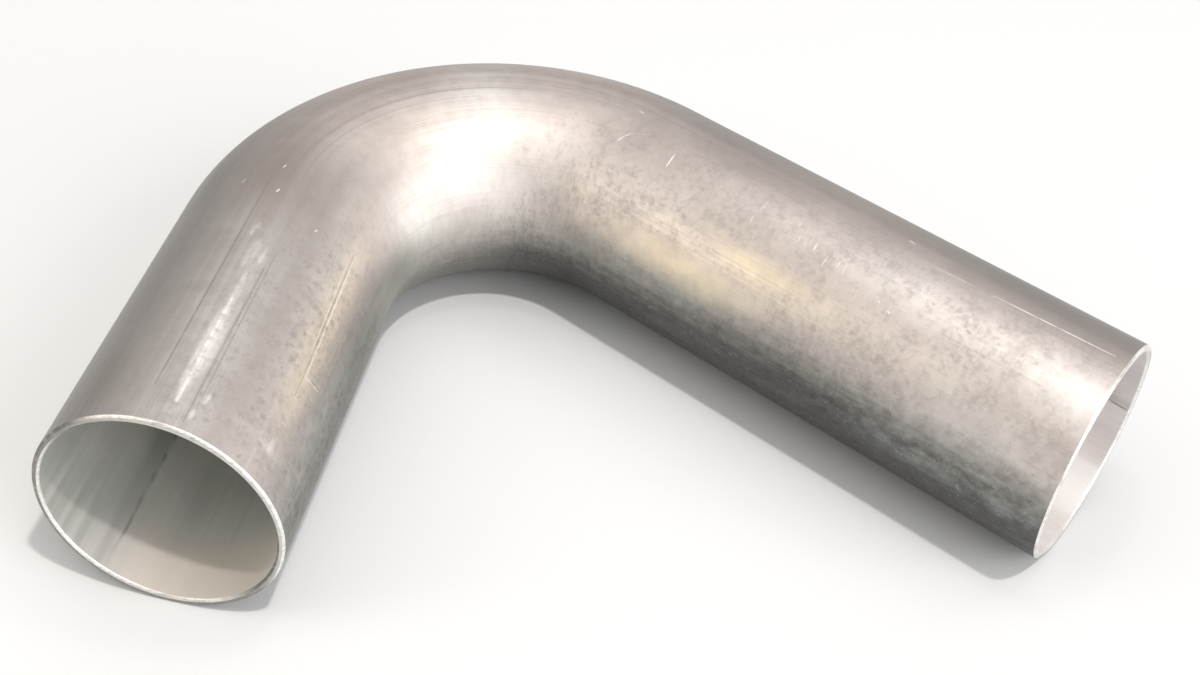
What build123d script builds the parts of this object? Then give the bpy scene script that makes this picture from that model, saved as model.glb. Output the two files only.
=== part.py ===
import os
from math import radians, tan

from build123d import *

# Elbow pipe: one aluminium tube, bent once on a mandrel, lying on its side.
# Lengths are millimetres and angles are degrees.

# Driving dimensions
outside_diameter = 63.5
wall = 2.0
bend_radius = 63.5  # centre line of the bend
bend_angle = 120.0
long_leg = 152.0  # straight run, from the end of the bend to the middle of the mouth
short_leg = 100.0
long_mouth_lean = 3.5  # bending leaves each mouth leaning, longer on the inside of the bend
short_mouth_lean = 2.5
rim_bevel = 0.6  # broken edge on the outside and the inside of each rim

# Sizes that follow from them
outer_radius = outside_diameter / 2
bore_radius = outer_radius - wall
widest_bevel = 0.4 * wall  # the two bevels leave a flat ring on the rim
bevel = min(rim_bevel, widest_bevel)
steepest_lean = max(long_mouth_lean, short_mouth_lean)
saw_allowance = wall + outer_radius * tan(radians(steepest_lean))


def mouth_plane(center, outward, lean):
    """The plane that a mouth is cut on, turned by its lean about the vertical."""
    return Plane(origin=center, z_dir=outward.rotate(Axis.Z, lean))


with BuildPart() as elbow_pipe:
    # The centre line runs in from the long mouth, round the bend and out at the short mouth
    with BuildLine():
        long_run = Line((long_leg + saw_allowance, bend_radius), (0, bend_radius))
        bend = JernArc(long_run @ 1, long_run % 1, bend_radius, bend_angle)
        short_run = PolarLine(bend @ 1, short_leg + saw_allowance, direction=bend % 1)

    # The ring section is carried along it, so the bore stays round through the bend
    with BuildSketch(Plane(origin=long_run @ 0, z_dir=long_run % 0)):
        Circle(outer_radius)
        Circle(bore_radius, mode=Mode.SUBTRACT)
    sweep()

    # Each mouth is cut back to its length, on its lean
    long_outward = long_run % 0 * -1
    short_outward = short_run % 1
    long_center = long_run @ 1 + long_outward * long_leg
    short_center = short_run @ 0 + short_outward * short_leg
    split(bisect_by=mouth_plane(long_center, long_outward, long_mouth_lean), keep=Keep.BOTTOM)
    split(bisect_by=mouth_plane(short_center, short_outward, -short_mouth_lean), keep=Keep.BOTTOM)

    # Both edges of both rims are broken
    rims = elbow_pipe.faces().filter_by(GeomType.PLANE)
    chamfer(rims.edges(), bevel)

# The tube lies on the floor, with the origin under the middle of its box
box = elbow_pipe.part.bounding_box()
elbow_pipe.part.position -= (box.center().X, box.center().Y, box.min.Z)

elbow_pipe.part.label = "elbow_pipe"
os.makedirs("parts", exist_ok=True)
export_step(elbow_pipe.part, "parts/elbow_pipe.step")
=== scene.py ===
import bpy
import numpy as np
from mathutils import Matrix, Vector


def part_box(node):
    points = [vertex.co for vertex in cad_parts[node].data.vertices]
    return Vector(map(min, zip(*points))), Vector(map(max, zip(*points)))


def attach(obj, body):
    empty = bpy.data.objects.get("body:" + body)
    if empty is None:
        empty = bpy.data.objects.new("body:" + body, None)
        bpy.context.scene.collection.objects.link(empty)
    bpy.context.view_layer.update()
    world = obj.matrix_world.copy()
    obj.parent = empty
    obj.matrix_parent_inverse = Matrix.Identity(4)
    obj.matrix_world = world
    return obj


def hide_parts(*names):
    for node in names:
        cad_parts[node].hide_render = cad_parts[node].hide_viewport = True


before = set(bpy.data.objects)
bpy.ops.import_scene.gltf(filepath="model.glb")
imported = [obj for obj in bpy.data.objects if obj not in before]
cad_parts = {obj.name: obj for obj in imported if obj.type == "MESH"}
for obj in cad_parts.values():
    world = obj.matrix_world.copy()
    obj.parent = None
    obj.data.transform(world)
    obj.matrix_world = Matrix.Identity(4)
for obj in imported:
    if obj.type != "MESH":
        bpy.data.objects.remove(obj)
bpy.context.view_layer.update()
scene = bpy.context.scene
scene.view_settings.view_transform = "Standard"
print("frame loaded")


millimetres = 1000.0  # in a metre

# The tube, in metres and degrees. Angles round it run from the outside of the bend over the top,
# distances along it run from the short mouth, and both also place the marks on its surface.
tube = {
    "outerRadius": 0.03175,
    "boreRadius": 0.02975,
    "bendRadius": 0.0635,
    "bendTurn": 120.0,
    "shortLeg": 0.100,
    "longLeg": 0.152,
    "shortLean": 2.5,  # each mouth is longer on the inside of the bend
    "longLean": 3.5,
    "startRound": -90.0,  # the first column lies at the bottom
    "columns": 224,
    "outerBevel": 0.00062,
    "innerBevel": 0.00058,
    "bevelWander": 0.00012,  # the edges were broken by hand, so their width wanders
    "shortPhase": 2.9,  # where that wandering starts on each rim
    "longPhase": 0.7,
    "bevelBulge": 1.3,  # 1 is a straight bevel and 2 a round one
    "bevelRows": 8,
    "faceRows": 3,
    "edgeRows": (0.0009, 0.0016),  # close rows just inside each mouth
    "firstRow": 0.003,
    "outerRows": (34, 100),  # rows on the short leg and round the bend
    "boreRows": (22, 60),
}
tube["bend"] = tube["bendRadius"] * np.radians(tube["bendTurn"])
tube["length"] = tube["shortLeg"] + tube["bend"] + tube["longLeg"]
boxLow, boxHigh = (np.array(corner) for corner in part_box("elbow_pipe"))
reach = tube["bendRadius"] + tube["outerRadius"]
bendCentre = np.array([boxLow[0] + reach, boxHigh[1] - reach])


# A point of the centre line is the bend centre plus the bend radius along the spoke at that distance,
# and past each end of the bend it goes straight on along the leg.
def centreLine(along):
    turned = np.clip((along - tube["shortLeg"]) / tube["bend"], 0.0, 1.0) * tube["bendTurn"]
    spokeAngle = np.radians(90.0 + tube["bendTurn"] - turned)
    spoke = np.stack([np.cos(spokeAngle), np.sin(spokeAngle)], axis=-1)
    endAngle = np.radians(90.0 + tube["bendTurn"])
    shortWay = np.array([-np.sin(endAngle), np.cos(endAngle)])
    longWay = np.array([1.0, 0.0])
    point = bendCentre + tube["bendRadius"] * spoke
    point = point + np.maximum(tube["shortLeg"] - along, 0.0)[..., None] * shortWay
    point = point + np.maximum(along - tube["shortLeg"] - tube["bend"], 0.0)[..., None] * longWay
    return point, spoke


# A rim goes from the outer wall over a bulged bevel, across the sawn face and over the inner bevel.
# Each bevel is a quarter of the curve |x|^p + |y|^p = 1, where p is the bulge. Returns how far each row
# stands back from the mouth and its radius, one column for each angle.
def rimRows(angle, phase):
    wander = np.sin(3 * angle + phase) + 0.6 * np.sin(7 * angle + 2.1 * phase)
    wander = wander + 0.4 * np.sin(16 * angle - phase)
    outerWidth = tube["outerBevel"] + tube["bevelWander"] * (0.5 + 0.25 * wander)
    innerWidth = tube["innerBevel"] + tube["bevelWander"] * (0.5 - 0.25 * np.roll(wander, 31))
    quarter = np.radians(np.linspace(0.0, 90.0, tube["bevelRows"]))[:, None]
    power = 2.0 / tube["bevelBulge"]
    run = np.cos(quarter) ** power
    drop = np.sin(quarter) ** power
    outerBack = outerWidth * (1.0 - drop)
    outerRing = tube["outerRadius"] - outerWidth * (1.0 - run)
    innerBack = (innerWidth * (1.0 - drop))[::-1]
    innerRing = (tube["boreRadius"] + innerWidth * (1.0 - run))[::-1]
    share = np.linspace(0.0, 1.0, tube["faceRows"] + 2)[1:-1, None]
    faceRing = outerRing[-1] * (1.0 - share) + innerRing[0] * share
    back = np.concatenate([outerBack, np.zeros_like(faceRing), innerBack])
    ring = np.concatenate([outerRing, faceRing, innerRing])
    return back, ring


# The wall rows between the mouths: close together just inside each mouth and round the bend.
def wallRows(perLeg, perBend):
    edge = np.array(tube["edgeRows"])
    start, end = tube["shortLeg"], tube["shortLeg"] + tube["bend"]
    shortRows = np.linspace(tube["firstRow"], start, perLeg, endpoint=False)
    bendRows = np.linspace(start, end, perBend)
    longRows = np.linspace(end, tube["length"] - tube["firstRow"], int(perLeg * 1.5))[1:]
    return np.concatenate([edge, shortRows, bendRows, longRows, tube["length"] - edge[::-1]])


# The whole skin is one closed sleeve: rows go along the outer wall, round the long rim, back through
# the bore and round the short rim, and columns go round the tube. A point is its place on the centre
# line plus its radius along (spoke cos a, up sin a). On each leg, rows shear by their distance from
# the bend so that the last one lies on the leaning mouth.
def tubeSkin():
    columns = tube["columns"]
    angle = np.radians(tube["startRound"]) + 2.0 * np.pi * np.arange(columns) / columns
    longBack, longRing = rimRows(angle, tube["longPhase"])
    shortBack, shortRing = rimRows(angle, tube["shortPhase"])
    outerRows = wallRows(*tube["outerRows"])
    boreRows = wallRows(*tube["boreRows"])[::-1]
    level = np.ones(columns)
    along = np.concatenate([
        outerRows[:, None] * level,
        tube["length"] - longBack,
        boreRows[:, None] * level,
        shortBack[::-1],
    ])
    ring = np.concatenate([
        np.full((len(outerRows), columns), tube["outerRadius"]),
        longRing,
        np.full((len(boreRows), columns), tube["boreRadius"]),
        shortRing[::-1],
    ])
    skinOf = np.concatenate([  # 0 outside, 1 rim, 2 bore, for the strip that starts at each row
        np.zeros(len(outerRows)),
        np.ones(len(longBack) - 1),
        np.full(len(boreRows) + 1, 2),
        np.ones(len(shortBack) - 1),
        np.zeros(1),
    ]).astype(np.int32)
    inward = -ring * np.cos(angle)
    nearShort = np.clip(1.0 - along / tube["shortLeg"], 0.0, 1.0)
    nearLong = np.clip(1.0 - (tube["length"] - along) / tube["longLeg"], 0.0, 1.0)
    sheared = along - nearShort * inward * np.tan(np.radians(tube["shortLean"]))
    sheared = sheared + nearLong * inward * np.tan(np.radians(tube["longLean"]))
    centre, spoke = centreLine(sheared)
    sideways = centre + spoke * (ring * np.cos(angle))[..., None]
    upwards = boxLow[2] + tube["outerRadius"] + ring * np.sin(angle)
    points = np.concatenate([sideways, upwards[..., None]], axis=-1)
    straight = np.stack([ring * np.cos(angle), ring * np.sin(angle), along], axis=-1)
    return points, straight, skinOf


def buildTube(materials):
    points, straight, skinOf = tubeSkin()
    rows, columns = points.shape[:2]
    row, column = np.meshgrid(np.arange(rows), np.arange(columns), indexing="ij")
    nextRow, nextColumn = (row + 1) % rows, (column + 1) % columns
    corners = np.stack([
        row * columns + column,
        row * columns + nextColumn,
        nextRow * columns + nextColumn,
        nextRow * columns + column,
    ], axis=-1).reshape(-1, 4)
    mesh = bpy.data.meshes.new("bentTube")
    mesh.from_pydata(points.reshape(-1, 3), [], corners)
    mesh.polygons.foreach_set("use_smooth", np.ones(len(corners), dtype=bool))
    mesh.polygons.foreach_set("material_index", np.repeat(skinOf, columns))
    # the same points on the tube before it was bent, in millimetres, for marks that follow it
    unbent = mesh.attributes.new("unbent", "FLOAT_VECTOR", "POINT")
    unbent.data.foreach_set("vector", (millimetres * straight).astype(np.float32).ravel())
    # the skin rolled flat: degrees round from the bottom and millimetres along
    rolled = mesh.uv_layers.new(name="rolledFlat")
    aroundHere = column * 360.0 / columns
    alongHere = millimetres * straight[..., 2]
    alongNext = np.roll(alongHere, -1, axis=0)
    nextAlongHere = np.roll(alongHere, -1, axis=1)
    nextAlongNext = np.roll(alongNext, -1, axis=1)
    aroundNext = aroundHere + 360.0 / columns
    flatCorners = np.stack([
        np.stack([aroundHere, alongHere], axis=-1),
        np.stack([aroundNext, nextAlongHere], axis=-1),
        np.stack([aroundNext, nextAlongNext], axis=-1),
        np.stack([aroundHere, alongNext], axis=-1),
    ], axis=2)
    rolled.uv.foreach_set("vector", flatCorners.astype(np.float32).ravel())
    for material in materials:
        mesh.materials.append(material)
    mesh.validate()
    mesh.update()
    made = bpy.data.objects.new("bent_tube", mesh)
    scene.collection.objects.link(made)
    return made


# Short ways to add nodes: a value is set on the socket of that name or number, and a socket is linked.
def addNode(tree, kind, inputs, **settings):
    made = tree.nodes.new("ShaderNode" + kind)
    for name, value in settings.items():
        setattr(made, name, value)
    for name, value in inputs.items():
        if isinstance(value, bpy.types.NodeSocket):
            tree.links.new(value, made.inputs[name])
        else:
            made.inputs[name].default_value = value
    return made


def calc(tree, operation, *values):
    return addNode(tree, "Math", dict(enumerate(values)), operation=operation).outputs[0]


def times(tree, first, second):
    return calc(tree, "MULTIPLY", first, second)


def plus(tree, first, second):
    return calc(tree, "ADD", first, second)


def vectorCalc(tree, operation, *values):
    made = addNode(tree, "VectorMath", dict(enumerate(values)), operation=operation)
    return made.outputs["Value" if operation in ("LENGTH", "DOT_PRODUCT") else "Vector"]


def fade(tree, value, start, end, low=0.0, high=1.0):
    inputs = {"Value": value, "From Min": start, "From Max": end, "To Min": low, "To Max": high}
    return addNode(tree, "MapRange", inputs, interpolation_type="SMOOTHSTEP").outputs["Result"]


def noise(tree, place, scale, detail=2.0, roughness=0.5, distortion=0.0):
    inputs = {"Vector": place, "Scale": scale, "Detail": detail, "Roughness": roughness}
    return addNode(tree, "TexNoise", inputs | {"Distortion": distortion}).outputs["Fac"]


def tint(tree, share, first, second):
    inputs = {0: share, 6: first, 7: second}  # the colour sockets of a Mix node
    return addNode(tree, "Mix", inputs, data_type="RGBA").outputs[2]


def newGroup(name, inputs, outputs):
    group = bpy.data.node_groups.new(name, "ShaderNodeTree")
    for label, kind, value in inputs:
        socket = group.interface.new_socket(label, in_out="INPUT", socket_type="NodeSocket" + kind)
        if value is not None:
            socket.default_value = value
    for label in outputs:
        group.interface.new_socket(label, in_out="OUTPUT", socket_type="NodeSocketFloat")
    start = group.nodes.new("NodeGroupInput").outputs
    end = group.nodes.new("NodeGroupOutput").inputs
    return group, start, end


def useGroup(tree, group, **inputs):
    return addNode(tree, "Group", inputs, node_tree=group).outputs


# Drawing lines: noise squeezed along the tube, so that it only changes round it.
def makeDrawnLines():
    group, start, end = newGroup(
        "drawnLines",
        [("Unbent", "Vector", None), ("Pitch", "Float", 1.0)],
        ["Fine", "Broad"],
    )
    drawn = vectorCalc(group, "MULTIPLY", start["Unbent"], (1.0, 1.0, 0.006))
    perLine = calc(group, "DIVIDE", 1.0, start["Pitch"])
    perBand = times(group, perLine, 0.16)
    fine = noise(group, drawn, perLine, 3.0, 0.65)
    broad = noise(group, drawn, perBand, 2.0, 0.5)
    group.links.new(fade(group, fine, 0.3, 0.7), end["Fine"])
    group.links.new(fade(group, broad, 0.3, 0.7), end["Broad"])
    return group


# Oxide freckles: a soft mottle, thick where a larger noise lets it through, and single dots whose size
# changes from cell to cell.
freckleShape = {
    "limit": 0.67,  # the mottle shows where its noise passes this, less the two gains
    "coverGain": 0.10,
    "cloudGain": 0.11,
    "cloudScale": 0.06,  # per millimetre, as the dots
    "dotScale": 0.36,
    "dotSize": (0.14, 0.34),
}


def makeOxideFreckles():
    group, start, end = newGroup(
        "oxideFreckles",
        [("Unbent", "Vector", None), ("Spot", "Float", 1.3), ("Cover", "Float", 0.5)],
        ["Mottle", "Dots", "Cloud"],
    )
    perSpot = calc(group, "DIVIDE", 1.0, start["Spot"])
    spots = noise(group, start["Unbent"], perSpot, 2.4, 0.62, 0.3)
    cloud = noise(group, start["Unbent"], freckleShape["cloudScale"], 3.0, 0.6, 0.4)
    cloudShare = fade(group, cloud, 0.38, 0.62)
    covered = times(group, start["Cover"], freckleShape["coverGain"])
    clouded = times(group, cloudShare, freckleShape["cloudGain"])
    limit = calc(group, "SUBTRACT", freckleShape["limit"], covered)
    limit = calc(group, "SUBTRACT", limit, clouded)
    group.links.new(fade(group, calc(group, "SUBTRACT", spots, limit), -0.11, 0.17), end["Mottle"])
    drawnOut = vectorCalc(group, "MULTIPLY", start["Unbent"], (1.0, 1.0, 0.65))
    inputs = {"Vector": drawnOut, "Scale": freckleShape["dotScale"]}
    cells = addNode(group, "TexVoronoi", inputs).outputs
    chance = addNode(group, "SeparateColor", {0: cells["Color"]}).outputs
    size = fade(group, chance["Red"], 0.0, 1.0, *freckleShape["dotSize"])
    dots = fade(group, calc(group, "DIVIDE", cells["Distance"], size), 1.1, 0.3)
    dots = times(group, dots, fade(group, chance["Green"], 0.15, 0.7))
    dots = times(group, dots, fade(group, cloudShare, 0.0, 1.0, 0.6, 1.0))
    group.links.new(dots, end["Dots"])
    group.links.new(cloudShare, end["Cloud"])
    return group


# One straight mark: full within a share of its half width from the line, gone at its half width, and
# narrower towards its ends by the taper.
def makeMark():
    group, start, end = newGroup(
        "straightMark",
        [("Place", "Vector", None), ("From", "Vector", None), ("To", "Vector", None),
         ("Half Width", "Float", 0.3), ("Core", "Float", 0.3), ("Taper", "Float", 0.0)],
        ["Mask"],
    )
    way = vectorCalc(group, "SUBTRACT", start["To"], start["From"])
    here = vectorCalc(group, "SUBTRACT", start["Place"], start["From"])
    waySquared = vectorCalc(group, "DOT_PRODUCT", way, way)
    share = calc(group, "DIVIDE", vectorCalc(group, "DOT_PRODUCT", here, way), waySquared)
    share = addNode(group, "Clamp", {"Value": share}).outputs[0]
    scaled = addNode(group, "VectorMath", {0: way, "Scale": share}, operation="SCALE").outputs["Vector"]
    away = vectorCalc(group, "LENGTH", vectorCalc(group, "SUBTRACT", here, scaled))
    toEnd = calc(group, "ABSOLUTE", calc(group, "MULTIPLY_ADD", share, 2.0, -1.0))
    toEnd = calc(group, "POWER", toEnd, 2.0)
    narrow = calc(group, "SUBTRACT", 1.0, times(group, toEnd, start["Taper"]))
    width = times(group, start["Half Width"], narrow)
    core = times(group, width, start["Core"])
    group.links.new(fade(group, away, width, core), end["Mask"])
    return group


# One soft patch: full at its middle and gone at the edge of an ellipse.
def makePatch():
    group, start, end = newGroup(
        "softPatch",
        [("Place", "Vector", None), ("Middle", "Vector", None), ("Half Size", "Vector", None)],
        ["Mask"],
    )
    away = vectorCalc(group, "SUBTRACT", start["Place"], start["Middle"])
    away = vectorCalc(group, "LENGTH", vectorCalc(group, "DIVIDE", away, start["Half Size"]))
    group.links.new(fade(group, away, 1.0, 0.0), end["Mask"])
    return group


drawnLines = makeDrawnLines()
oxideFreckles = makeOxideFreckles()
straightMark = makeMark()
softPatch = makePatch()
print("shared effects made")


bumpDepth = 0.0001  # metres


def newMaterial(name):
    material = bpy.data.materials.new(name)
    material.use_nodes = True
    tree = material.node_tree
    shader = tree.nodes["Principled BSDF"]
    unbent = addNode(tree, "Attribute", {}, attribute_name="unbent").outputs["Vector"]
    return material, tree, shader, unbent


# Mill finish outside. A mark is (degrees round, millimetres along) from and to, half width, strength.
# A patch is degrees round, millimetres along, half its size round and along, strength. A zone is where
# a fade starts and ends, mostly in millimetres, and its value there if that isn't 0 and 1.
millFinish = {
    "pale": (0.785, 0.722, 0.69, 1.0),
    "shortPale": (0.76, 0.732, 0.715, 1.0),
    "drawn": (0.50, 0.44, 0.40, 1.0),
    # colour of the painted shade on the outside
    "outside": (0.288, 0.277, 0.268, 1.0),
    "oxide": (0.42, 0.39, 0.385, 1.0),
    # colour of the painted green floor reflection
    "floorGreen": (0.43, 0.465, 0.39, 1.0),
    # colour of the painted shade on the underside
    "paintedUnderShade": (0.074, 0.074, 0.072, 1.0),
    "bloom": (0.31, 0.32, 0.306, 1.0),
    "bright": (0.975, 0.965, 0.945, 1.0),
    # colour of the painted warm glints
    "warmGlint": (0.98, 0.87, 0.67, 1.0),
    "roughness": 0.46,
    "metallic": 0.92,
    "bump": 0.3,
    "linePitch": 0.55,  # millimetres, as the next two
    "freckleSize": 1.9,
    "blotSize": 3.2,
    "moreDotSize": (0.24, 0.5),
    "freckleShare": 0.46,
    "cloudShare": 0.15,
    "scuffShare": 0.75,
    "fineShare": 0.46,
    "broadShare": 0.34,
    "patchyShare": 0.16,
    "leastLines": 0.11,
    "freckleSlant": -1.6,  # how the edge of the freckles slants across the bend
    "bendMiddle": 172.0,
    "shadeTilt": 0.25,
    "raggedEdge": 8.0,
    "streakyEdge": 5.5,
    "rougher": {"freckles": 0.12, "lines": 0.10, "burnishGlint": -0.08, "bend": 0.09},
    "lessMetallic": {"scratches": 0.6, "burnishGlint": 0.6, "scuffs": 0.4},
    "zones": {
        "bend": (64.0, 24.0),
        "lessOnBend": (0.0, 1.0, 1.0, 0.5),
        "paleLong": (60.0, 150.0),
        "shortFreckles": (115.0, 60.0, 0.1, 1.0),
        "longFreckles": (201.0, 246.0),
        "insideFreckles": (14.0, -6.0, 0.45, 1.0),
        "blots": (230.0, 340.0, 0.1, 0.75),
        "dots": (60.0, 200.0, 1.7, 1.1),
        "moreDotsAlong": (110.0, 70.0),
        "moreDotsInside": (2.0, -9.0, 0.0, 1.7),
        "lines": (0.0, 28.0, 0.35, 1.0),
        "blurredInside": (2.0, -10.0),
        "blurredLong": (130.0, 230.0, 0.0, 0.7),
        "outsideShade": (2.0, 24.0, 0.0, 0.95),
        "outsideShadeLong": (215.0, 260.0, 0.0, 3.0),
        "outsideShadeMouth": (290.0, 372.0, 0.0, 6.5),
        "underShade": (3.0, -15.5),
        "shadeShort": (60.0, 105.0, -7.4, 7.6),
        "shadeBend": (150.0, 210.0, 0.0, -5.2),
        "shadeLong": (225.0, 310.0, 0.0, -7.3),
        "shadeShare": (150.0, 230.0, 0.66, 0.96),
        "bloomLong": (300.0, 352.0, 0.16, 0.8),
        "bloomUp": (-11.0, -3.0, 0.12, 1.0),
        "floorGreen": (6.0, -7.0, 0.0, 0.6),
        "highlightedLong": (70.0, 130.0, 0.3, 1.0),
        "highlightedOff": (0.1, 0.65, 1.0, 0.2),
    },
    "scratches": [
        ((91.5, 346.0), (89.5, 381.0), 0.26, 1.0),
        ((93.0, 325.0), (91.9, 341.0), 0.2, 0.5),
        ((107.0, 247.0), (116.0, 247.5), 0.3, 1.0),
        ((115.8, 228.8), (112.0, 229.8), 0.3, 1.0),
        ((112.0, 229.8), (108.5, 231.2), 0.2, 0.7),
        ((108.5, 231.2), (103.5, 236.5), 0.14, 0.6),
        ((144.0, 37.0), (154.5, 37.5), 0.24, 0.8),
        ((116.6, 278.4), (121.0, 278.8), 0.24, 0.45),
        ((113.4, 293.2), (117.8, 293.6), 0.22, 0.5),
        ((113.6, 298.4), (118.0, 298.8), 0.4, 0.6),
        ((114.6, 305.6), (119.2, 306.0), 0.2, 0.45),
        ((115.0, 308.6), (122.0, 309.4), 0.22, 0.55),
        ((117.0, 303.2), (120.4, 303.4), 0.18, 0.35),
        ((107.2, 291.2), (110.0, 290.8), 0.2, 0.35),
        ((124.8, 321.8), (125.4, 322.4), 0.34, 0.5),
        ((126.8, 325.4), (127.6, 326.4), 0.4, 0.6),
        ((83.3, 317.6), (83.7, 319.8), 0.3, 0.7),
        ((92.6, 90.2), (93.4, 91.8), 0.4, 0.8),
        ((89.6, 101.2), (90.4, 102.8), 0.36, 0.7),
        ((91.4, 227.2), (91.6, 228.8), 0.34, 0.8),
        ((117.6, 80.8), (118.6, 82.2), 0.34, 0.7),
        ((73.3, 93.0), (74.2, 95.2), 0.3, 0.5),
        ((141.6, 82.0), (144.6, 36.0), 0.34, 0.5),
        ((139.2, 79.0), (142.2, 41.0), 0.28, 0.4),
    ],
    "rails": [
        ((86.5, 12.0), (86.5, 94.0), 0.42, 0.7),
        ((107.0, 8.0), (106.6, 68.0), 0.34, 0.6),
        ((104.8, 3.0), (104.8, 60.0), 0.45, 0.7),
        ((140.4, 84.0), (143.4, 30.0), 0.4, 0.5),
        ((95.0, 106.0), (97.5, 196.0), 0.4, 0.4),
        ((101.0, 96.0), (103.0, 176.0), 0.34, 0.35),
        ((116.8, 346.0), (117.3, 347.2), 0.55, 0.9),
        ((124.2, 341.0), (123.2, 370.0), 0.42, 0.3),
    ],
    # burnished strips, mostly on the short leg, with their glint painted in as a near-white painted
    # highlight
    "burnishGlint": [
        ((98.2, 8.5), (98.6, 46.0), 3.0, 1.0),
        ((99.2, 15.0), (99.4, 40.0), 4.4, 0.75),
        ((98.4, 40.0), (98.8, 56.0), 1.8, 0.5),
        ((101.4, 61.0), (101.8, 67.0), 1.4, 0.5),
        ((91.4, 71.0), (93.2, 76.5), 1.6, 0.5),
        ((95.6, 58.0), (97.0, 70.0), 2.4, 0.35),
        ((108.6, 10.6), (109.8, 13.8), 1.4, 0.55),
        ((106.3, 4.6), (106.8, 8.0), 1.1, 0.5),
        ((142.6, 9.5), (143.2, 14.0), 1.6, 0.45),
    ],
    # painted highlights round the lit top and inside of the bend, along the legs and at the long mouth;
    # the last patch is a pale ring near the short mouth
    "paintedHighlightsAndRing": [
        (97.5, 34.0, 9.0, 46.0, 0.6),
        (109.0, 177.0, 24.0, 28.0, 0.55),
        (96.0, 178.0, 21.0, 24.0, 0.85),
        (166.0, 126.0, 20.0, 48.0, 0.95),
        (153.0, 178.0, 16.0, 36.0, 0.7),
        (141.0, 206.0, 18.0, 24.0, 0.4),
        (155.0, 362.0, 11.0, 32.0, 0.55),
        (117.5, 381.0, 15.0, 26.0, 0.8),
        (112.0, 330.0, 12.0, 40.0, 0.3),
        (133.0, 11.0, 24.0, 2.4, 0.4),
    ],
    # painted warm glints, where the tube would reflect a warm lamp
    "paintedWarmGlints": [
        (139.0, 288.0, 6.6, 30.0, 1.0),
        (141.0, 286.0, 12.0, 48.0, 0.45),
        (159.0, 266.0, 10.0, 42.0, 1.0),
        (143.5, 52.0, 8.5, 56.0, 0.6),
    ],
    # darker patches over the top and along the legs
    "darkerPatches": [
        (90.0, 100.0, 17.0, 32.0, 0.8),
        (104.0, 97.0, 15.0, 32.0, 0.6),
        (106.0, 135.0, 14.0, 20.0, 0.25),
        (93.0, 268.0, 13.0, 38.0, 0.35),
        (108.0, 242.0, 14.0, 44.0, 0.42),
        (129.0, 300.0, 11.0, 64.0, 0.34),
        (59.0, 14.0, 8.0, 20.0, 0.5),
        (124.0, 36.0, 8.0, 48.0, 0.3),
    ],
    # where painted highlights are made less metallic
    "mattUnderHighlights": [
        (161.0, 130.0, 16.0, 54.0, 0.66),
        (155.0, 180.0, 14.0, 40.0, 0.4),
        (160.0, 266.0, 10.0, 42.0, 0.5),
    ],
    "scuffs": [
        ((113.0, 282.0), (119.5, 314.0), 8.0, 0.9),
        ((110.0, 330.0), (116.0, 372.0), 10.0, 0.7),
        ((108.0, 262.0), (114.0, 276.0), 6.0, 0.6),
        ((150.0, 20.0), (153.0, 52.0), 6.0, 0.5),
    ],
}


# Millimetres round the tube for one degree, at a radius in metres.
def roundPerDegree(radius):
    return 2.0 * np.pi * millimetres * radius / 360.0


# A place on the skin rolled flat, from degrees round the tube and millimetres along it.
def flatPlace(around, along, perDegree):
    return ((around - tube["startRound"]) * perDegree, along, 0.0)


# The skin rolled flat, in millimetres round from the bottom and along.
def rolledFlat(tree, perDegree):
    rolled = addNode(tree, "UVMap", {}, uv_map="rolledFlat").outputs["UV"]
    return vectorCalc(tree, "MULTIPLY", rolled, (perDegree, 1.0, 0.0))


# The strongest of several straight marks at each place.
def strongestMark(tree, place, marks, perDegree, core, taper=0.0):
    total = 0.0
    for begin, finish, halfWidth, strength in marks:
        shape = {
            "From": flatPlace(*begin, perDegree),
            "To": flatPlace(*finish, perDegree),
            "Half Width": halfWidth,
            "Core": core,
            "Taper": taper,
        }
        mask = useGroup(tree, straightMark, Place=place, **shape)["Mask"]
        total = calc(tree, "MAXIMUM", total, times(tree, mask, strength))
    return total


# The strongest of several soft patches at each place.
def strongestPatch(tree, place, patches, perDegree):
    total = 0.0
    for around, along, halfRound, halfAlong, strength in patches:
        shape = {
            "Middle": flatPlace(around, along, perDegree),
            "Half Size": (halfRound, halfAlong, 1.0),
        }
        mask = useGroup(tree, softPatch, Place=place, **shape)["Mask"]
        total = calc(tree, "MAXIMUM", total, times(tree, mask, strength))
    return total


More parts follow.
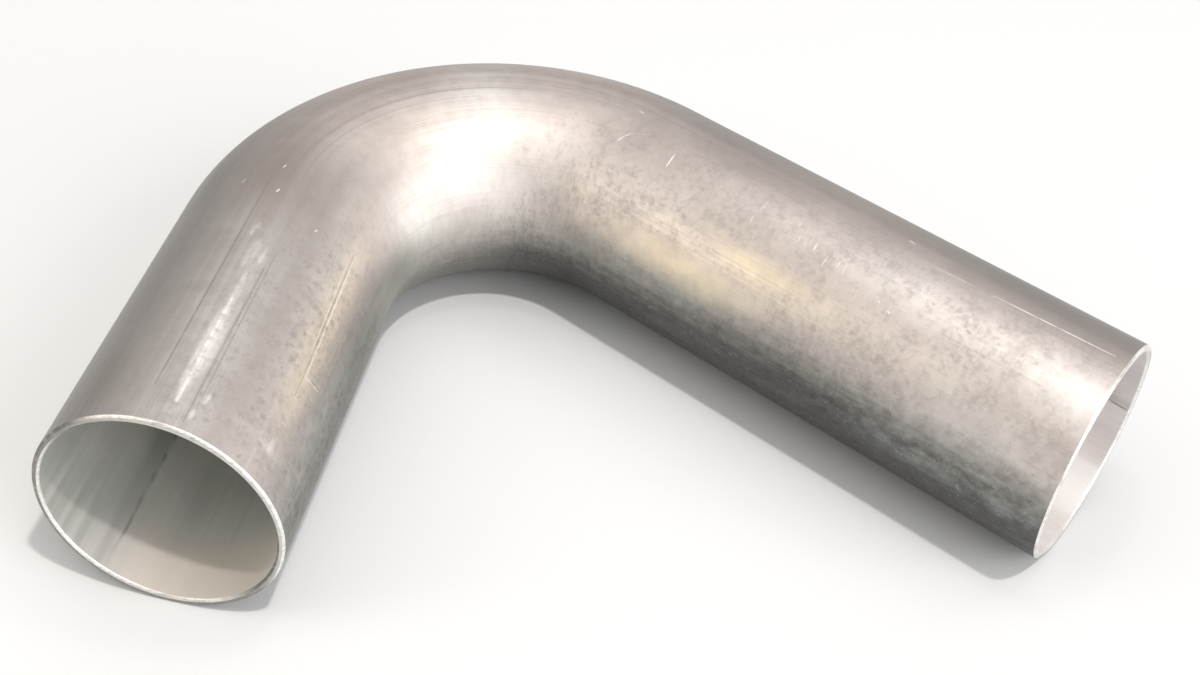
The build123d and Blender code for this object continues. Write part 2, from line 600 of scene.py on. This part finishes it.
def makeMillFinish():
    material, tree, shader, unbent = newMaterial("millFinish")
    zones = millFinish["zones"]
    lines = useGroup(tree, drawnLines, Unbent=unbent, Pitch=millFinish["linePitch"])
    part = addNode(tree, "SeparateXYZ", {0: unbent}).outputs
    out, up, along = part["X"], part["Y"], part["Z"]
    perDegree = roundPerDegree(tube["outerRadius"])
    flat = rolledFlat(tree, perDegree)
    wear = noise(tree, unbent, 0.45, 4.0, 0.65)
    patchy = fade(tree, noise(tree, unbent, 0.22, 3.0, 0.6), 0.36, 0.64)
    offBend = calc(tree, "ABSOLUTE", calc(tree, "SUBTRACT", along, millFinish["bendMiddle"]))
    onBend = fade(tree, offBend, *zones["bend"])
    lessOnBend = fade(tree, onBend, *zones["lessOnBend"])

    # the freckles thin out round the bend, up to a slanting edge, and towards the outside
    slant = calc(tree, "MULTIPLY_ADD", out, millFinish["freckleSlant"], along)
    freckleZone = fade(tree, along, *zones["shortFreckles"])
    freckleZone = calc(tree, "MAXIMUM", freckleZone, fade(tree, slant, *zones["longFreckles"]))
    freckleZone = times(tree, freckleZone, fade(tree, out, *zones["insideFreckles"]))
    freckleSize, blotSize = millFinish["freckleSize"], millFinish["blotSize"]
    oxide = useGroup(tree, oxideFreckles, Unbent=unbent, Spot=freckleSize, Cover=freckleZone)
    blots = useGroup(tree, oxideFreckles, Unbent=unbent, Spot=blotSize, Cover=0.3)
    blots = times(tree, blots["Mottle"], fade(tree, along, *zones["blots"]))
    freckles = calc(tree, "MAXIMUM", oxide["Mottle"], blots)
    freckles = times(tree, freckles, fade(tree, patchy, 0.0, 1.0, 0.55, 1.0))
    dots = times(tree, oxide["Dots"], fade(tree, along, *zones["dots"]))
    # more dots lie close together on the inside half of the short leg
    ripple = addNode(tree, "TexNoise", {"Vector": flat, "Scale": 0.7, "Detail": 2.0}).outputs["Color"]
    ripple = vectorCalc(tree, "SUBTRACT", ripple, (0.5, 0.5, 0.5))
    rippled = vectorCalc(tree, "MULTIPLY_ADD", ripple, (2.4, 2.4, 0.0), flat)
    rippled = vectorCalc(tree, "MULTIPLY", rippled, (1.0, 0.8, 0.0))
    inputs = {"Vector": rippled, "Scale": freckleShape["dotScale"]}
    cells = addNode(tree, "TexVoronoi", inputs, voronoi_dimensions="2D").outputs
    chance = addNode(tree, "SeparateColor", {0: cells["Color"]}).outputs
    size = fade(tree, chance["Red"], 0.0, 1.0, *millFinish["moreDotSize"])
    moreDots = fade(tree, calc(tree, "DIVIDE", cells["Distance"], size), 1.3, 0.0)
    moreDots = times(tree, moreDots, fade(tree, chance["Green"], 0.1, 0.9))
    inShort = fade(tree, along, *zones["moreDotsAlong"])
    inShort = times(tree, inShort, fade(tree, out, *zones["moreDotsInside"]))
    dots = calc(tree, "MAXIMUM", dots, times(tree, moreDots, inShort))
    freckles = calc(tree, "MAXIMUM", freckles, dots)
    freckles = times(tree, freckles, freckleZone)

    # drawing lines show most over the top and outside, and little on the inside of the long leg
    lineZone = fade(tree, plus(tree, up, out), *zones["lines"])
    blurred = fade(tree, out, *zones["blurredInside"])
    blurred = times(tree, blurred, fade(tree, along, *zones["blurredLong"]))
    lineZone = times(tree, lineZone, calc(tree, "SUBTRACT", 1.0, blurred))
    fine = calc(tree, "SUBTRACT", lines["Fine"], 0.5)
    broad = calc(tree, "SUBTRACT", lines["Broad"], 0.5)
    lineShare = times(tree, fine, millFinish["fineShare"])
    lineShare = calc(tree, "MULTIPLY_ADD", broad, millFinish["broadShare"], lineShare)
    lineShare = plus(tree, times(tree, lineShare, lineZone), millFinish["leastLines"])
    lineShare = calc(tree, "MULTIPLY_ADD", patchy, millFinish["patchyShare"], lineShare)

    # painted shade: the outside is darker, from higher up towards the long mouth and less round the
    # bend
    outsideShade = plus(tree, out, fade(tree, along, *zones["outsideShadeLong"]))
    outsideShade = plus(tree, outsideShade, fade(tree, along, *zones["outsideShadeMouth"]))
    outsideShade = times(tree, fade(tree, outsideShade, *zones["outsideShade"]), lessOnBend)

    # painted shade on the underside, standing for the dark floor it would reflect, higher up on the
    # legs, with a ragged edge drawn out along the tube
    streaky = noise(tree, vectorCalc(tree, "MULTIPLY", unbent, (1.0, 1.0, 0.12)), 0.4, 3.0, 0.6)
    streaky = calc(tree, "SUBTRACT", streaky, 0.5)
    ragged = calc(tree, "SUBTRACT", noise(tree, unbent, 0.32, 4.0, 0.65), 0.5)
    tilted = calc(tree, "MULTIPLY_ADD", out, millFinish["shadeTilt"], up)
    height = calc(tree, "MULTIPLY_ADD", ragged, millFinish["raggedEdge"], tilted)
    height = calc(tree, "MULTIPLY_ADD", streaky, millFinish["streakyEdge"], height)
    for zone in ("shadeShort", "shadeBend", "shadeLong"):
        height = plus(tree, height, fade(tree, along, *zones[zone]))
    paintedUnderShade = fade(tree, height, *zones["underShade"])
    paintedUnderShade = times(tree, paintedUnderShade, fade(tree, along, *zones["shadeShare"]))

    # pale bloom lies on the painted under shade low on the long leg, thickest near its mouth, with
    # single specks
    clouds = noise(tree, vectorCalc(tree, "MULTIPLY", unbent, (1.0, 1.0, 0.7)), 0.15, 5.0, 0.72)
    bloom = times(tree, fade(tree, clouds, 0.3, 0.72), fade(tree, along, *zones["bloomLong"]))
    bloom = times(tree, bloom, fade(tree, up, *zones["bloomUp"]))
    specks = fade(tree, noise(tree, unbent, 0.95, 2.0, 0.5), 0.63, 0.73)
    bloom = calc(tree, "MULTIPLY_ADD", specks, 0.45, bloom)
    bloom = plus(tree, bloom, calc(tree, "MAXIMUM", times(tree, streaky, 0.5), 0.0))
    # painted reflection: a greenish tint just above the painted under shade, where the tube would
    # reflect a greenish floor, less round the bend
    paintedFloorGreen = times(tree, fade(tree, tilted, *zones["floorGreen"]), lessOnBend)

    # marks laid on the flat skin; the small ones are broken up by wear
    scratches = strongestMark(tree, flat, millFinish["scratches"], perDegree, 0.35, 0.6)
    scratches = times(tree, scratches, fade(tree, wear, 0.36, 0.5, 0.4, 1.0))
    hairs = noise(tree, vectorCalc(tree, "MULTIPLY", flat, (0.16, 1.7, 0.0)), 1.0, 2.0, 0.6, 0.3)
    hairs = times(tree, fade(tree, hairs, 0.56, 0.74), fade(tree, wear, 0.4, 0.56))
    scuffs = strongestMark(tree, flat, millFinish["scuffs"], perDegree, 0.1)
    scuffs = times(tree, scuffs, hairs)
    rails = strongestMark(tree, flat, millFinish["rails"], perDegree, 0.3, 0.4)
    rails = times(tree, rails, fade(tree, wear, 0.3, 0.55, 0.5, 1.0))
    brushed = fade(tree, lines["Fine"], 0.2, 0.8, 1.0, 0.6)
    # the burnished strips carry a painted glint: near-white and less metallic
    burnishGlint = strongestMark(tree, flat, millFinish["burnishGlint"], perDegree, 0.0, 0.75)
    burnishGlint = times(tree, burnishGlint, brushed)
    burnishGlint = times(tree, burnishGlint, fade(tree, wear, 0.36, 0.56, 0.35, 1.0))
    # painted highlights, and a pale ring near the short mouth
    paintedHighlightsAndRing = strongestPatch(tree, flat, millFinish["paintedHighlightsAndRing"], perDegree)
    paintedWarmGlints = strongestPatch(tree, flat, millFinish["paintedWarmGlints"], perDegree)
    darkerPatches = strongestPatch(tree, flat, millFinish["darkerPatches"], perDegree)
    # freckles fade out under the painted highlights and painted warm glints, except on the short leg
    highlighted = calc(tree, "MAXIMUM", paintedWarmGlints, times(tree, paintedHighlightsAndRing, 0.8))
    highlighted = times(tree, highlighted, fade(tree, along, *zones["highlightedLong"]))
    freckles = times(tree, freckles, fade(tree, highlighted, *zones["highlightedOff"]))

    longShare = fade(tree, along, *zones["paleLong"])
    colour = tint(tree, longShare, millFinish["shortPale"], millFinish["pale"])
    colour = tint(tree, paintedHighlightsAndRing, colour, millFinish["bright"])
    colour = tint(tree, paintedWarmGlints, colour, millFinish["warmGlint"])
    colour = tint(tree, lineShare, colour, millFinish["drawn"])
    colour = tint(tree, darkerPatches, colour, millFinish["drawn"])
    colour = tint(tree, outsideShade, colour, millFinish["outside"])
    colour = tint(tree, paintedFloorGreen, colour, millFinish["floorGreen"])
    cloudy = times(tree, oxide["Cloud"], millFinish["cloudShare"])
    speckled = times(tree, freckles, millFinish["freckleShare"])
    colour = tint(tree, cloudy, colour, millFinish["oxide"])
    colour = tint(tree, speckled, colour, millFinish["oxide"])
    colour = tint(tree, rails, colour, millFinish["oxide"])
    colour = tint(tree, burnishGlint, colour, millFinish["bright"])
    # the painted under shade, with pale bloom on it near the long mouth
    underShade = tint(tree, bloom, millFinish["paintedUnderShade"], millFinish["bloom"])
    colour = tint(tree, paintedUnderShade, colour, underShade)
    colour = tint(tree, times(tree, scuffs, millFinish["scuffShare"]), colour, millFinish["bright"])
    colour = tint(tree, scratches, colour, millFinish["bright"])
    tree.links.new(colour, shader.inputs["Base Color"])

    rough = millFinish["roughness"]
    for name, mask in (("freckles", freckles), ("lines", fine), ("burnishGlint", burnishGlint), ("bend", onBend)):
        rough = calc(tree, "MULTIPLY_ADD", mask, millFinish["rougher"][name], rough)
    tree.links.new(rough, shader.inputs["Roughness"])

    bare = 0.0
    for name, mask in (("scratches", scratches), ("burnishGlint", burnishGlint), ("scuffs", scuffs)):
        bare = calc(tree, "MULTIPLY_ADD", mask, millFinish["lessMetallic"][name], bare)
    # less metallic under three painted highlights, on the inside of the bend and the long leg, so that
    # their painted pale colour shows
    mattUnderHighlights = strongestPatch(tree, flat, millFinish["mattUnderHighlights"], perDegree)
    bare = calc(tree, "MAXIMUM", bare, mattUnderHighlights)
    tree.links.new(calc(tree, "SUBTRACT", millFinish["metallic"], bare), shader.inputs["Metallic"])

    grain = noise(tree, unbent, 1.8, 3.0, 0.6)
    relief = plus(tree, times(tree, lines["Fine"], 0.5), times(tree, grain, 0.8))
    inputs = {"Strength": millFinish["bump"], "Distance": bumpDepth, "Height": relief}
    bump = addNode(tree, "Bump", inputs)
    tree.links.new(bump.outputs["Normal"], shader.inputs["Normal"])
    return material


# Sawn and deburred metal on the rims, with painted light: a painted highlight on the outer edge over
# the top, on the inner edge below and on the face above, painted shade elsewhere; the long rim has a
# painted highlight, less so low on its outside.
sawnRim = {
    "bright": (0.97, 0.955, 0.93, 1.0),
    "rimShade": (0.19, 0.183, 0.172, 1.0),
    "worn": (0.50, 0.478, 0.45, 1.0),
    "roughness": 0.34,
    "metallic": 0.8,
    "bump": 0.3,
    "slantHeight": 44.0,  # millimetres; about the most that up less out comes to on a rim
    "longRimLight": 0.8,
    "zones": {  # millimetres from the middle of the wall, or shares of the slanting height
        "outerEdge": (0.15, 0.5),
        "outerAbove": (0.05, 0.5),
        "innerEdge": (-0.15, -0.5),
        "innerBelow": (0.2, -0.4),
        "face": (0.5, 0.2),
        "faceAbove": (-0.2, 1.0, 0.1, 0.75),
        "lowerHalf": (-4.0, 8.0),  # millimetres across the rim
        "outerHalf": (-0.5, -0.1, 0.0, 0.72),
        "litLongRim": (100.0, 280.0),  # millimetres along the tube
    },
}


def makeSawnRim():
    material, tree, shader, unbent = newMaterial("sawnRim")
    zones = sawnRim["zones"]
    across = vectorCalc(tree, "MULTIPLY", unbent, (0.15, 3.0, 1.0))
    sawing = fade(tree, noise(tree, across, 1.2, 3.0, 0.6), 0.3, 0.7)
    nibble = fade(tree, noise(tree, unbent, 0.6, 3.0, 0.6), 0.45, 0.7)
    part = addNode(tree, "SeparateXYZ", {0: unbent}).outputs
    radius = vectorCalc(tree, "LENGTH", vectorCalc(tree, "MULTIPLY", unbent, (1.0, 1.0, 0.0)))
    middle = millimetres * (tube["outerRadius"] + tube["boreRadius"]) / 2.0
    offMiddle = calc(tree, "SUBTRACT", radius, middle)
    above = calc(tree, "SUBTRACT", part["Y"], part["X"])
    above = calc(tree, "DIVIDE", above, sawnRim["slantHeight"])
    outerEdge = fade(tree, offMiddle, *zones["outerEdge"])
    outerEdge = times(tree, outerEdge, fade(tree, above, *zones["outerAbove"]))
    innerEdge = fade(tree, offMiddle, *zones["innerEdge"])
    innerEdge = times(tree, innerEdge, fade(tree, above, *zones["innerBelow"]))
    # the long rim gets a painted highlight, with painted shade on the outer edge of its lower, outside
    # half
    lowerHalf = fade(tree, calc(tree, "SUBTRACT", part["X"], part["Y"]), *zones["lowerHalf"])
    outerHalf = fade(tree, offMiddle, *zones["outerHalf"])
    litLongRim = calc(tree, "SUBTRACT", sawnRim["longRimLight"], times(tree, lowerHalf, outerHalf))
    litLongRim = times(tree, litLongRim, fade(tree, part["Z"], *zones["litLongRim"]))
    face = fade(tree, calc(tree, "ABSOLUTE", offMiddle), *zones["face"])
    face = times(tree, face, fade(tree, above, *zones["faceAbove"]))
    # painted highlight on the edges and face that would catch the lamps, painted shade elsewhere
    paintedRimLight = calc(tree, "MAXIMUM", calc(tree, "MAXIMUM", outerEdge, innerEdge), face)
    paintedRimLight = calc(tree, "MAXIMUM", paintedRimLight, litLongRim)
    paintedRimLight = times(tree, paintedRimLight, fade(tree, sawing, 0.0, 1.0, 0.75, 1.0))
    colour = tint(tree, paintedRimLight, sawnRim["rimShade"], sawnRim["bright"])
    colour = tint(tree, times(tree, nibble, 0.5), colour, sawnRim["worn"])
    tree.links.new(colour, shader.inputs["Base Color"])
    rough = calc(tree, "MULTIPLY_ADD", sawing, 0.15, sawnRim["roughness"])
    tree.links.new(rough, shader.inputs["Roughness"])
    shader.inputs["Metallic"].default_value = sawnRim["metallic"]
    inputs = {"Strength": sawnRim["bump"], "Distance": bumpDepth, "Height": sawing}
    bump = addNode(tree, "Bump", inputs)
    tree.links.new(bump.outputs["Normal"], shader.inputs["Normal"])
    return material


# The bore keeps a dull film with a shaded seam and dried streaks, and painted light: it is paler
# towards the long mouth, with a painted pool of light low in the long mouth and a painted warm crescent
# just inside the short mouth. Marks, patches and zones are written as on the outside.
boreFilm = {
    "pale": (0.81, 0.81, 0.775, 1.0),
    "longPale": (0.94, 0.91, 0.90, 1.0),
    "crescentLightColour": (0.75, 0.69, 0.64, 1.0),
    "farLightColour": (0.99, 0.985, 0.975, 1.0),
    "film": (0.49, 0.51, 0.485, 1.0),
    "longFilm": (0.58, 0.54, 0.55, 1.0),
    "seam": (0.20, 0.205, 0.20, 1.0),
    "streak": (0.81, 0.775, 0.755, 1.0),
    "roughness": 0.5,
    "metallic": 0.3,
    "bump": 0.2,
    "linePitch": 1.3,  # millimetres
    "fineShare": 0.1,
    "broadShare": 0.25,
    "cloudShare": 0.12,
    "zones": {
        "longHalf": (150.0, 320.0),
        "shadedSide": (-0.5, 0.4),
        "farLightOut": (-2.0, 13.0),
        "farLightLong": (335.0, 372.0),
        "wetMouth": (26.0, 4.0),
        "wetOut": (6.0, 20.0),
        "wetLow": (8.0, -8.0, 0.0, 0.5),
        "darkerOut": (7.0, 20.0),
        "darkerMouth": (44.0, 8.0, 0.0, 0.75),
        "darkerInside": (-2.0, -22.0, 0.0, 0.34),
        "paleMouth": (26.0, 13.0),
        "paleLow": (-4.0, -18.0, 0.0, 0.85),
        "paleInside": (22.5, 9.0),
    },
    "seams": [
        ((-56.4, 8.0), (-57.4, 98.0), 1.2, 0.6),
        ((-56.0, 1.0), (-56.4, 10.0), 1.2, 0.22),
        ((-9.6, 330.0), (-11.4, 384.0), 1.0, 0.75),
    ],
    "seamRound": -57.0,  # degrees
    "shades": [
        (-52.5, 60.0, 5.2, 60.0, 0.4),
        (-9.0, 372.0, 2.0, 30.0, 0.4),
    ],
    "paintedFarLight": [((-70.0, 345.0), (-70.0, 390.0), 13.0, 0.95)],  # painted pool of light, low in the long mouth
}


def makeBoreFilm():
    material, tree, shader, unbent = newMaterial("boreFilm")
    zones = boreFilm["zones"]
    lines = useGroup(tree, drawnLines, Unbent=unbent, Pitch=boreFilm["linePitch"])
    perDegree = roundPerDegree(tube["boreRadius"])
    flat = rolledFlat(tree, perDegree)
    part = addNode(tree, "SeparateXYZ", {0: unbent}).outputs
    out, up, along = part["X"], part["Y"], part["Z"]
    # the seam wanders a little and comes and goes
    drift = addNode(tree, "TexNoise", {"Vector": flat, "Scale": 0.05, "Detail": 1.0}).outputs["Color"]
    drift = vectorCalc(tree, "SUBTRACT", drift, (0.5, 0.5, 0.5))
    wandering = vectorCalc(tree, "MULTIPLY_ADD", drift, (1.3, 0.0, 0.0), flat)
    seams = strongestMark(tree, wandering, boreFilm["seams"], perDegree, 0.0, 0.5)
    broken = fade(tree, noise(tree, unbent, 0.3, 3.0, 0.6), 0.38, 0.6, 0.3, 1.0)
    seams = times(tree, seams, broken)
    # the metal is shaded up to the seam, on its upper side only
    roundFromSeam = addNode(tree, "SeparateXYZ", {0: wandering}).outputs["X"]
    seamPlace = flatPlace(boreFilm["seamRound"], 0.0, perDegree)
    roundFromSeam = calc(tree, "SUBTRACT", roundFromSeam, seamPlace[0])
    shades = strongestPatch(tree, flat, boreFilm["shades"], perDegree)
    shades = times(tree, shades, fade(tree, roundFromSeam, *zones["shadedSide"]))
    # the painted shade beside the seam takes the seam's colour
    seams = calc(tree, "MAXIMUM", seams, shades)
    # painted pool of light low in the long mouth
    paintedFarLight = strongestMark(tree, wandering, boreFilm["paintedFarLight"], perDegree, 0.85)
    paintedFarLight = times(tree, paintedFarLight, fade(tree, out, *zones["farLightOut"]))
    paintedFarLight = times(tree, paintedFarLight, fade(tree, along, *zones["farLightLong"]))
    # dried streaks low on the outside wall, just inside the short mouth
    drawn = vectorCalc(tree, "MULTIPLY", unbent, (1.0, 1.0, 0.03))
    streaks = fade(tree, noise(tree, drawn, 0.3, 2.0, 0.5), 0.38, 0.68)
    wet = times(tree, fade(tree, along, *zones["wetMouth"]), fade(tree, out, *zones["wetOut"]))
    wet = times(tree, wet, fade(tree, up, *zones["wetLow"]))
    streaks = times(tree, streaks, wet)
    clouds = fade(tree, noise(tree, unbent, 0.1, 3.0), 0.35, 0.65)
    share = times(tree, lines["Broad"], boreFilm["broadShare"])
    share = calc(tree, "MULTIPLY_ADD", lines["Fine"], boreFilm["fineShare"], share)
    share = calc(tree, "MULTIPLY_ADD", clouds, boreFilm["cloudShare"], share)
    # the film is darker on the outside wall just inside the short mouth, and on the inside wall all
    # along
    darkerWall = fade(tree, out, *zones["darkerOut"])
    darkerWall = times(tree, darkerWall, fade(tree, along, *zones["darkerMouth"]))
    share = plus(tree, share, darkerWall)
    share = plus(tree, share, fade(tree, out, *zones["darkerInside"]))
    # painted light: the film is paler towards the long mouth, where the far bore is lit
    longHalf = fade(tree, along, *zones["longHalf"])
    pale = tint(tree, longHalf, boreFilm["pale"], boreFilm["longPale"])
    film = tint(tree, longHalf, boreFilm["film"], boreFilm["longFilm"])
    colour = tint(tree, share, pale, film)
    # painted warm light on the lit crescent low just inside the short mouth
    paintedCrescentLight = fade(tree, along, *zones["paleMouth"])
    paintedCrescentLight = times(tree, paintedCrescentLight, fade(tree, up, *zones["paleLow"]))
    paintedCrescentLight = times(tree, paintedCrescentLight, fade(tree, out, *zones["paleInside"]))
    colour = tint(tree, paintedCrescentLight, colour, boreFilm["crescentLightColour"])
    colour = tint(tree, streaks, colour, boreFilm["streak"])
    colour = tint(tree, paintedFarLight, colour, boreFilm["farLightColour"])
    colour = tint(tree, seams, colour, boreFilm["seam"])
    tree.links.new(colour, shader.inputs["Base Color"])
    rough = calc(tree, "MULTIPLY_ADD", lines["Fine"], 0.1, boreFilm["roughness"])
    tree.links.new(rough, shader.inputs["Roughness"])
    shader.inputs["Metallic"].default_value = boreFilm["metallic"]
    inputs = {"Strength": boreFilm["bump"], "Distance": bumpDepth, "Height": lines["Fine"]}
    bump = addNode(tree, "Bump", inputs)
    tree.links.new(bump.outputs["Normal"], shader.inputs["Normal"])
    return material


bentTube = buildTube([makeMillFinish(), makeSawnRim(), makeBoreFilm()])
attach(bentTube, "root")
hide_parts("elbow_pipe")
print("tube built:", len(bentTube.data.polygons), "faces")


# The camera stands where the photograph was taken from; angles are degrees, lengths metres.
camera = {
    "azimuth": 35.546,
    "elevation": 41.133,
    "roll": 6.221,
    "target": (-0.0002, 0.02497, 0.03175),
    "distance": 0.4495,
    "lens": 48.92,  # millimetres, as the sensor
    "sensor": 36.0,
    "clipStart": 0.01,
}


# Azimuth 0 stands on -Y and grows towards +X; the result points from the target to that place.
def direction(azimuth, elevation):
    turn, rise = np.radians([azimuth, elevation])
    return Vector((np.sin(turn) * np.cos(rise), -np.cos(turn) * np.cos(rise), np.sin(rise)))


def facing(place, target, roll=0.0):
    turned = (place - target).to_track_quat("Z", "Y").to_matrix().to_4x4()
    return Matrix.Translation(place) @ turned @ Matrix.Rotation(np.radians(roll), 4, "Z")


target = Vector(camera["target"])
lensData = bpy.data.cameras.new("photoCamera")
lensData.sensor_width = camera["sensor"]
lensData.lens = camera["lens"]
lensData.clip_start = camera["clipStart"]
photoCamera = bpy.data.objects.new("photoCamera", lensData)
place = target + camera["distance"] * direction(camera["azimuth"], camera["elevation"])
photoCamera.matrix_world = facing(place, target, camera["roll"])
scene.collection.objects.link(photoCamera)
scene.camera = photoCamera


# Lamps by their angle from the camera's side: azimuth to its right, elevation, distance, size, watts,
# colour and aim. One hangs close over the long mouth and aims there.
longMouth = Vector((0.115, 0.066, 0.059))
lamps = {
    "key": (40.5, 70.0, 4.8, (0.2, 0.2), 85.0, (1.0, 0.93, 0.87), target),
    "window": (59.0, 25.0, 4.4, (4.0, 3.7), 130.0, (1.0, 0.99, 0.98), target),
    "ceiling": (180.0, 80.0, 4.8, (5.6, 5.6), 51.0, (1.0, 0.97, 0.96), target),
    "leftFill": (-75.0, 38.0, 4.4, (3.6, 3.2), 34.0, (1.0, 0.95, 0.90), target),
    "backRight": (133.0, 14.0, 3.6, (2.4, 1.6), 9.6, (1.0, 0.94, 0.86), target),
    "warmSide": (-62.0, 30.0, 0.45, (0.10, 0.12), 0.10, (1.0, 0.86, 0.58), target),
    "overMouth": (-122.0, 78.0, 0.45, (0.05, 0.05), 0.12, (1.0, 0.98, 0.93), longMouth),
}
for name, (azimuth, elevation, distance, size, watts, colour, aim) in lamps.items():
    lampData = bpy.data.lights.new(name, "AREA")
    lampData.shape = "RECTANGLE"
    lampData.size, lampData.size_y = size
    lampData.energy = watts
    lampData.color = colour
    lamp = bpy.data.objects.new(name, lampData)
    lamp.visible_camera = False
    lampPlace = aim + distance * direction(camera["azimuth"] + azimuth, elevation)
    lamp.matrix_world = facing(lampPlace, aim)
    scene.collection.objects.link(lamp)


# A plain room and a matt pale floor
studio = {
    "room": (0.38, 0.365, 0.35, 1.0),
    "floor": (0.815, 0.84, 0.86, 1.0),
    "halfFloor": 12.0,  # metres
}
world = bpy.data.worlds.new("room")
world.use_nodes = True
scene.world = world
room = world.node_tree.nodes["Background"]
room.inputs["Color"].default_value = studio["room"]
room.inputs["Strength"].default_value = 1.0

half = studio["halfFloor"]
floorCorners = [(-half, -half, 0), (half, -half, 0), (half, half, 0), (-half, half, 0)]
floorMesh = bpy.data.meshes.new("floor")
floorMesh.from_pydata(floorCorners, [], [(0, 1, 2, 3)])
floor = bpy.data.objects.new("floor", floorMesh)
floorPaint = bpy.data.materials.new("floorPaint")
floorPaint.use_nodes = True
floorShader = floorPaint.node_tree.nodes["Principled BSDF"]
floorShader.inputs["Base Color"].default_value = studio["floor"]
floorShader.inputs["Roughness"].default_value = 1.0
floorShader.inputs["Specular IOR Level"].default_value = 0.0
floorMesh.materials.append(floorPaint)
scene.collection.objects.link(floor)
print("camera, lamps and floor placed")

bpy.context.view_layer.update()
